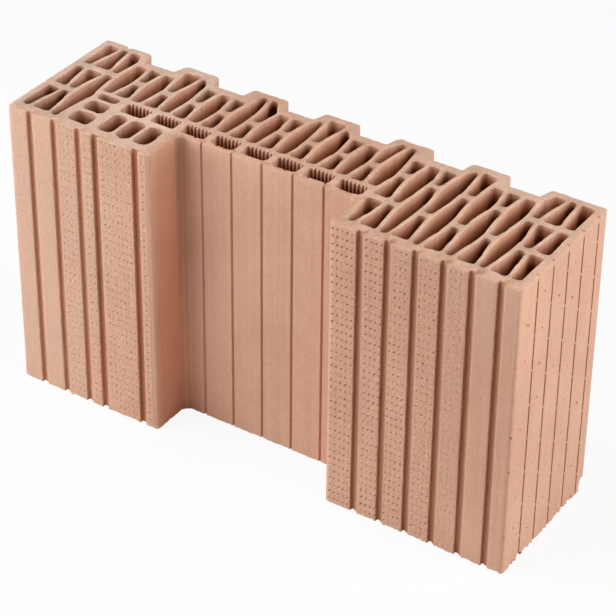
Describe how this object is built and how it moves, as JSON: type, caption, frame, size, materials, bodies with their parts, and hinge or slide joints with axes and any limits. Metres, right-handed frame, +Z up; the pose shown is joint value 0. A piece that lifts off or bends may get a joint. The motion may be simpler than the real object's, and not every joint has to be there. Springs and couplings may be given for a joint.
{
  "type": "perforated clay block",
  "caption": "Hollow fired-clay wall block with interlocking tapered cells, ribbed cells behind a front recess, grooved front lands and a tongued back.",
  "frame": {"origin": "middle of the bed face that the block stands on", "axes": "+X along the length to the right seen from the recess side, +Y from the recess side to the tongue side, +Z up along the cells"},
  "size_m": [0.44, 0.124, 0.249],
  "materials": {
    "clay": "matt fired clay, dusty on the ground bed faces"
  },
  "bodies": {
    "root": {"clay_block": "clay"}
  },
  "joints": []
}
